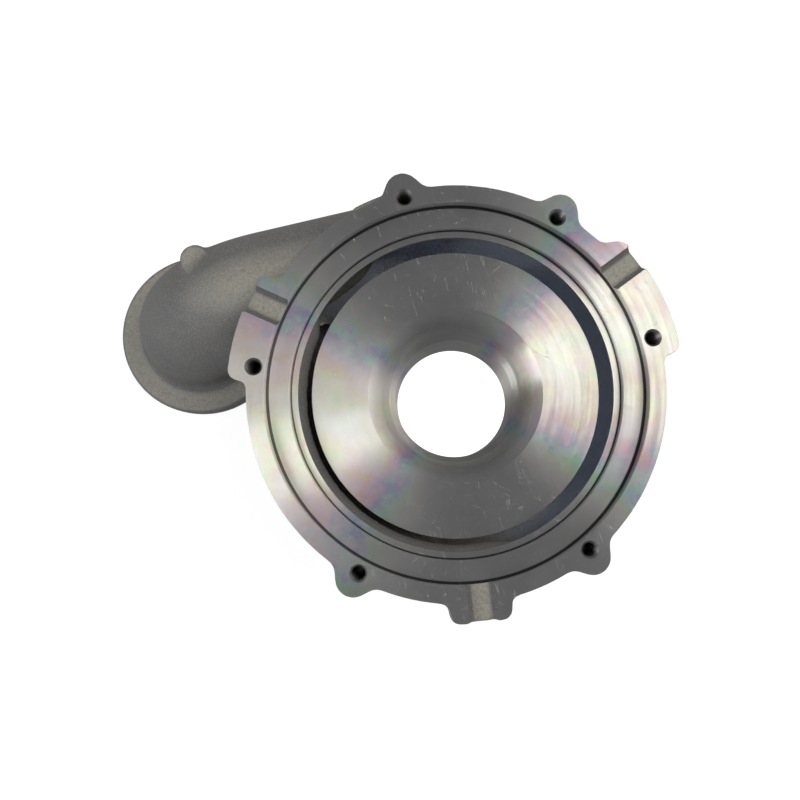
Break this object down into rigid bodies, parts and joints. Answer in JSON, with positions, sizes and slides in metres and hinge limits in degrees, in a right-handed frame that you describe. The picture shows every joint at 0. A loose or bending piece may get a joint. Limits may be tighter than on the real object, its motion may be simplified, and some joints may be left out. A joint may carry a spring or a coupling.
{
  "type": "turbo compressor housing",
  "caption": "One-piece cast aluminium compressor housing with turned backplate seat, growing scroll, tangential outlet elbow and straight-through inlet.",
  "frame": {"origin": "on the main bore axis in the plane of the inlet rim", "axes": "+Z along the main bore from the inlet towards the backplate flange; the outlet leaves the scroll towards -X at its +Y side and turns down to -Z"},
  "size_m": [0.3184, 0.228, 0.112],
  "materials": {
    "cast_body": "sand-cast body with lathe-turned flange, seat and wheel bore"
  },
  "bodies": {
    "root": {"compressor_housing": "cast_body"}
  },
  "joints": []
}
